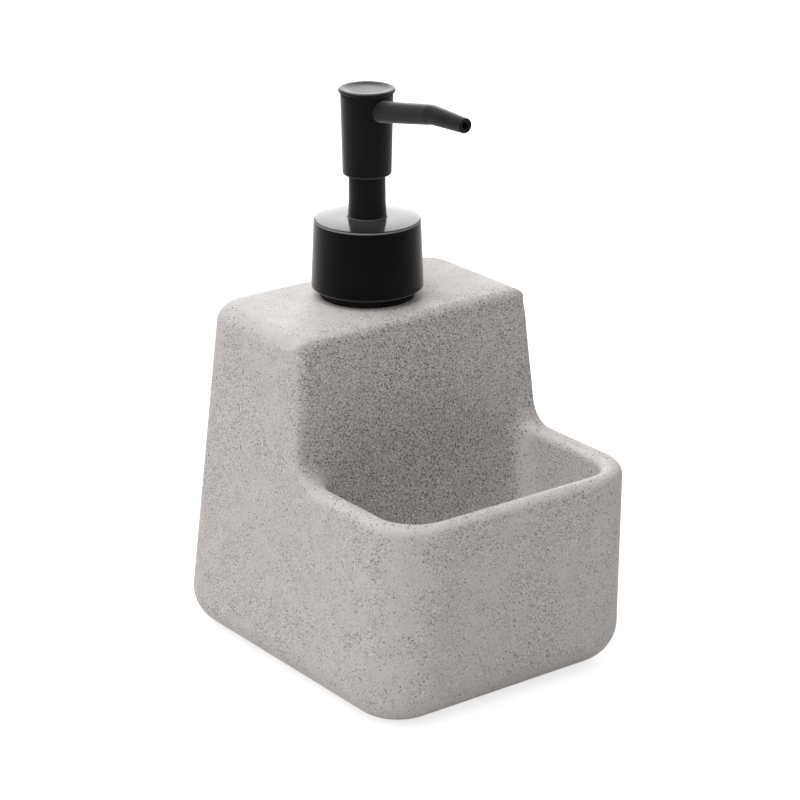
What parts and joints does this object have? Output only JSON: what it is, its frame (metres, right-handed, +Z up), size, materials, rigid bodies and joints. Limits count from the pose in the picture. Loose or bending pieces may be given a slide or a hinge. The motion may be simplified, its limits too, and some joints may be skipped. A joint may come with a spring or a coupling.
{
  "type": "soap pump caddy",
  "caption": "Free-standing soap dispenser cast in one with an open sponge well, with a screw-on lotion pump whose head presses, returns and swivels.",
  "frame": {"origin": "centre of the base on the surface that the caddy stands on", "axes": "+X is the width to the right, the sponge well faces -Y, +Z is up along the pump axis"},
  "size_m": [0.1032, 0.1298, 0.1875],
  "materials": {
    "stoneware": "matte speckled warm grey",
    "pad_rubber": "matte",
    "insert_black": "satin",
    "gasket_rubber": "matte",
    "collar_black": "satin black",
    "pump_natural": "natural translucent",
    "head_black": "satin black",
    "ball_steel": "polished",
    "spring_steel": "drawn wire",
    "piston_plastic": "soft white",
    "tube_clear": "natural translucent"
  },
  "bodies": {
    "casting": {"caddy_body": "stoneware", "base_pad": "pad_rubber", "mouth_insert": "insert_black"},
    "pump_unit": {"pump_housing": "pump_natural", "guide_neck": "head_black", "sealing_gasket": "gasket_rubber", "ball_cage": "pump_natural", "dip_tube": "tube_clear", "return_spring": "spring_steel"},
    "closure": {"closure_cap": "insert_black", "collar_shroud": "collar_black"},
    "valve_ball": {"inlet_ball": "ball_steel"},
    "piston_slide": {"piston": "piston_plastic"},
    "pump_head": {"stem": "head_black", "piston_rod": "pump_natural", "head_barrel": "head_black", "nozzle_core": "insert_black", "thumb_pad": "head_black", "spout": "head_black"}
  },
  "joints": [
    {"name": "pump_rise", "type": "slide", "parent": "casting", "child": "pump_unit", "axis": [0, 0, 1], "range_m": [0, 0.00631]},
    {"name": "closure_turn", "type": "hinge", "parent": "pump_unit", "child": "closure", "pos_m": [0, 0.016, 0.13], "axis": [0, 0, 1], "range_deg": [0, 540]},
    {"name": "valve_ball_lift", "type": "slide", "parent": "pump_unit", "child": "valve_ball", "axis": [0, 0, 1], "range_m": [0, 0.0014]},
    {"name": "pump_press", "type": "slide", "parent": "pump_unit", "child": "piston_slide", "axis": [0, 0, -1], "range_m": [0, 0.0125], "stiffness_N_per_m": 700, "springref_m": -0.006, "deforming": ["return_spring"]},
    {"name": "head_swivel", "type": "hinge", "parent": "piston_slide", "child": "pump_head", "pos_m": [0, 0.016, 0.15], "axis": [0, 0, 1], "continuous": true}
  ],
  "couplings": [
    {"joint": "pump_rise", "follows": "closure_turn", "m_per_rad": 0.00066845}
  ]
}
